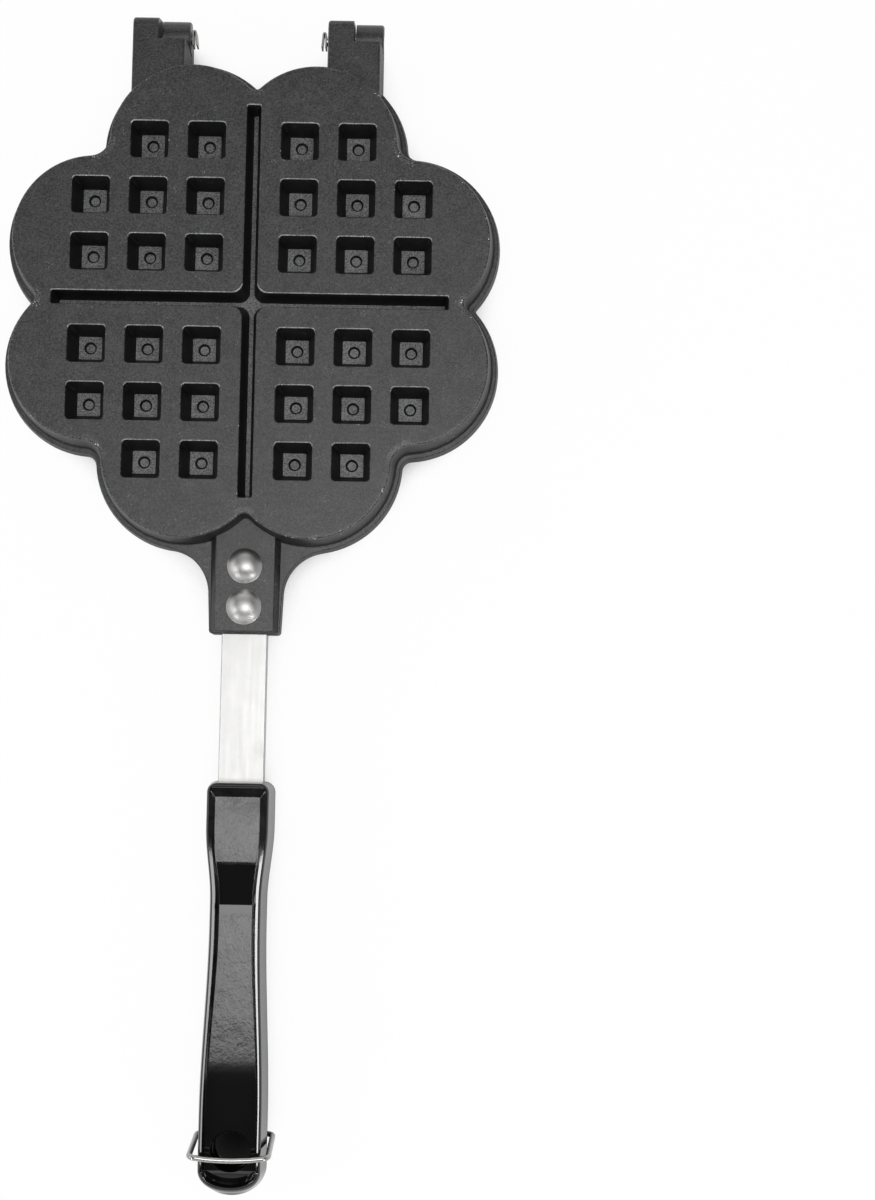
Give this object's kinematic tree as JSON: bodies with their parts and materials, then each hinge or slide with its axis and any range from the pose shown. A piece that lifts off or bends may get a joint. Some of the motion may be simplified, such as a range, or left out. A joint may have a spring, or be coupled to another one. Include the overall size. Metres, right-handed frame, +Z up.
{
  "type": "stovetop waffle iron",
  "caption": "Hinged cast stovetop waffle iron with a heart-shaped lobed plate, strap handles with moulded grips and a swinging wire latch.",
  "frame": {"origin": "bottom centre of the closed iron's bounding box, on the lower plate's outer face", "axes": "+Z up through the closed plates, +Y from the handles to the hinge, +X to the right seen from the handles"},
  "size_m": [0.168, 0.3966, 0.029],
  "materials": {
    "casting": "cast aluminium with a fine-grained dark grey coating, satin",
    "grip": "moulded black phenolic, glossy",
    "strap": "bright smooth steel strip",
    "rivet": "polished domed rivet",
    "screw": "plated steel screw",
    "pin": "turned steel pin",
    "clip": "bright spring steel strip",
    "wire": "bright plated wire"
  },
  "bodies": {
    "base": {"lower_plate": "casting", "lower_strap": "strap", "lower_front_rivet": "rivet", "lower_rear_rivet": "rivet", "lower_grip": "grip", "lower_front_screw": "screw", "lower_rear_screw": "screw", "left_hinge_pin": "pin", "right_hinge_pin": "pin", "left_pin_clip": "clip", "right_pin_clip": "clip"},
    "top": {"upper_plate": "casting", "upper_strap": "strap", "upper_front_rivet": "rivet", "upper_rear_rivet": "rivet", "upper_grip": "grip", "upper_front_screw": "screw", "upper_rear_screw": "screw"},
    "latch": {"latch_wire": "wire"}
  },
  "joints": [
    {"name": "plate_hinge", "type": "hinge", "parent": "base", "child": "top", "pos_m": [0, 0.1925, 0.01415], "axis": [-1, 0, 0], "range_deg": [0, 165]},
    {"name": "latch_pivot", "type": "hinge", "parent": "base", "child": "latch", "pos_m": [0, -0.1799, 0.00595], "axis": [1, 0, 0], "range_deg": [-30, 240]}
  ]
}
